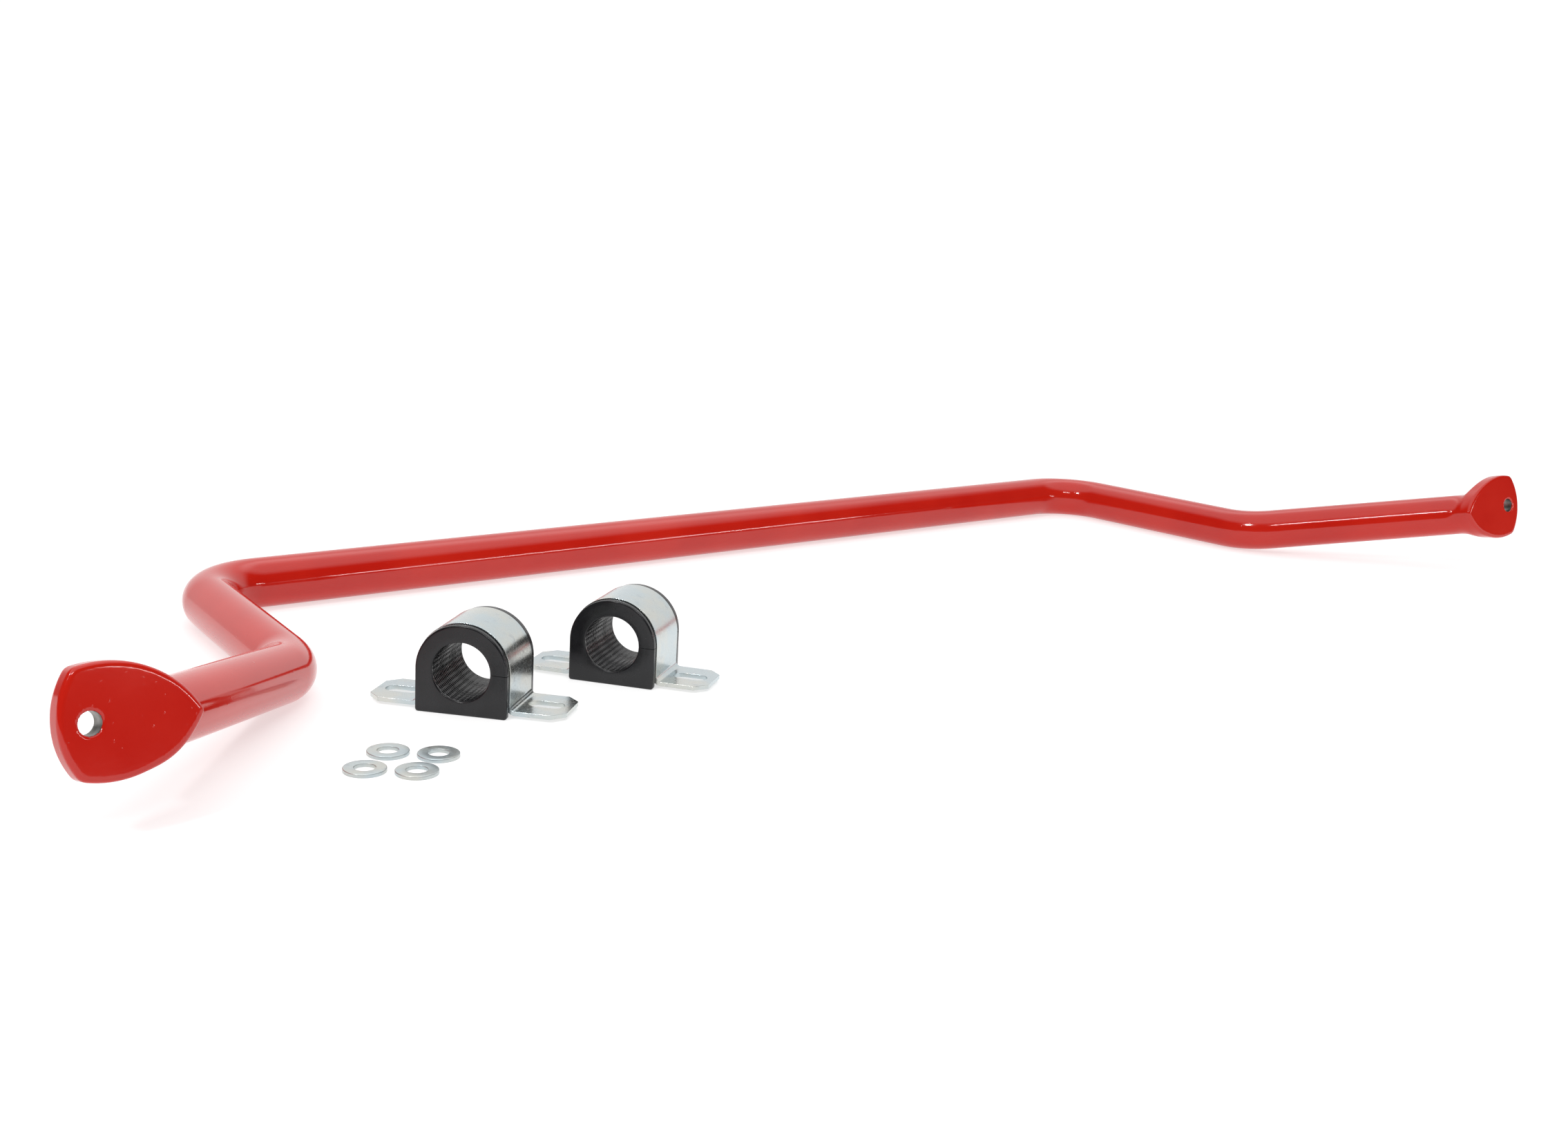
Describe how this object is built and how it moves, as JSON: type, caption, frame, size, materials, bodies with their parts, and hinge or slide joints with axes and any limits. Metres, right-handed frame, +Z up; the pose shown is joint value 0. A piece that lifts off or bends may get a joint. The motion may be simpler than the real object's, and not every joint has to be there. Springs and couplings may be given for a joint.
{
  "type": "sway bar kit",
  "caption": "Bent round spring bar with a flattened, drilled eye at each end, laid out with its bushes, saddle brackets and washers.",
  "frame": {"origin": "middle of the kit's footprint, on the surface that it lies on", "axes": "+X along the bar's straight middle, -Y from the straight middle towards the eyes, +Z up from the surface"},
  "size_m": [1.1704, 0.3536, 0.077],
  "materials": {
    "red_powder_coat": "gloss",
    "black_polyurethane": "semi-gloss",
    "zinc_plate": "bright zinc plate"
  },
  "bodies": {
    "bar": {"sway_bar": "red_powder_coat"},
    "left_bush": {"left_bush": "black_polyurethane"},
    "left_bracket": {"left_bracket": "zinc_plate"},
    "right_bush": {"right_bush": "black_polyurethane"},
    "right_bracket": {"right_bracket": "zinc_plate"},
    "washer_1": {"washer_1": "zinc_plate"},
    "washer_2": {"washer_2": "zinc_plate"},
    "washer_3": {"washer_3": "zinc_plate"},
    "washer_4": {"washer_4": "zinc_plate"}
  },
  "joints": [
    {"name": "left_bush_lift", "type": "slide", "parent": "bar", "child": "left_bush", "axis": [0, 0, 1], "range_m": [0, 0.1]},
    {"name": "left_bracket_lift", "type": "slide", "parent": "left_bush", "child": "left_bracket", "axis": [0, 0, 1], "range_m": [0, 0.06]},
    {"name": "right_bush_lift", "type": "slide", "parent": "bar", "child": "right_bush", "axis": [0, 0, 1], "range_m": [0, 0.1]},
    {"name": "right_bracket_lift", "type": "slide", "parent": "right_bush", "child": "right_bracket", "axis": [0, 0, 1], "range_m": [0, 0.06]},
    {"name": "washer_1_lift", "type": "slide", "parent": "bar", "child": "washer_1", "axis": [0, 0, 1], "range_m": [0, 0.05]},
    {"name": "washer_2_lift", "type": "slide", "parent": "bar", "child": "washer_2", "axis": [0, 0, 1], "range_m": [0, 0.05]},
    {"name": "washer_3_lift", "type": "slide", "parent": "bar", "child": "washer_3", "axis": [0, 0, 1], "range_m": [0, 0.05]},
    {"name": "washer_4_lift", "type": "slide", "parent": "bar", "child": "washer_4", "axis": [0, 0, 1], "range_m": [0, 0.05]}
  ]
}
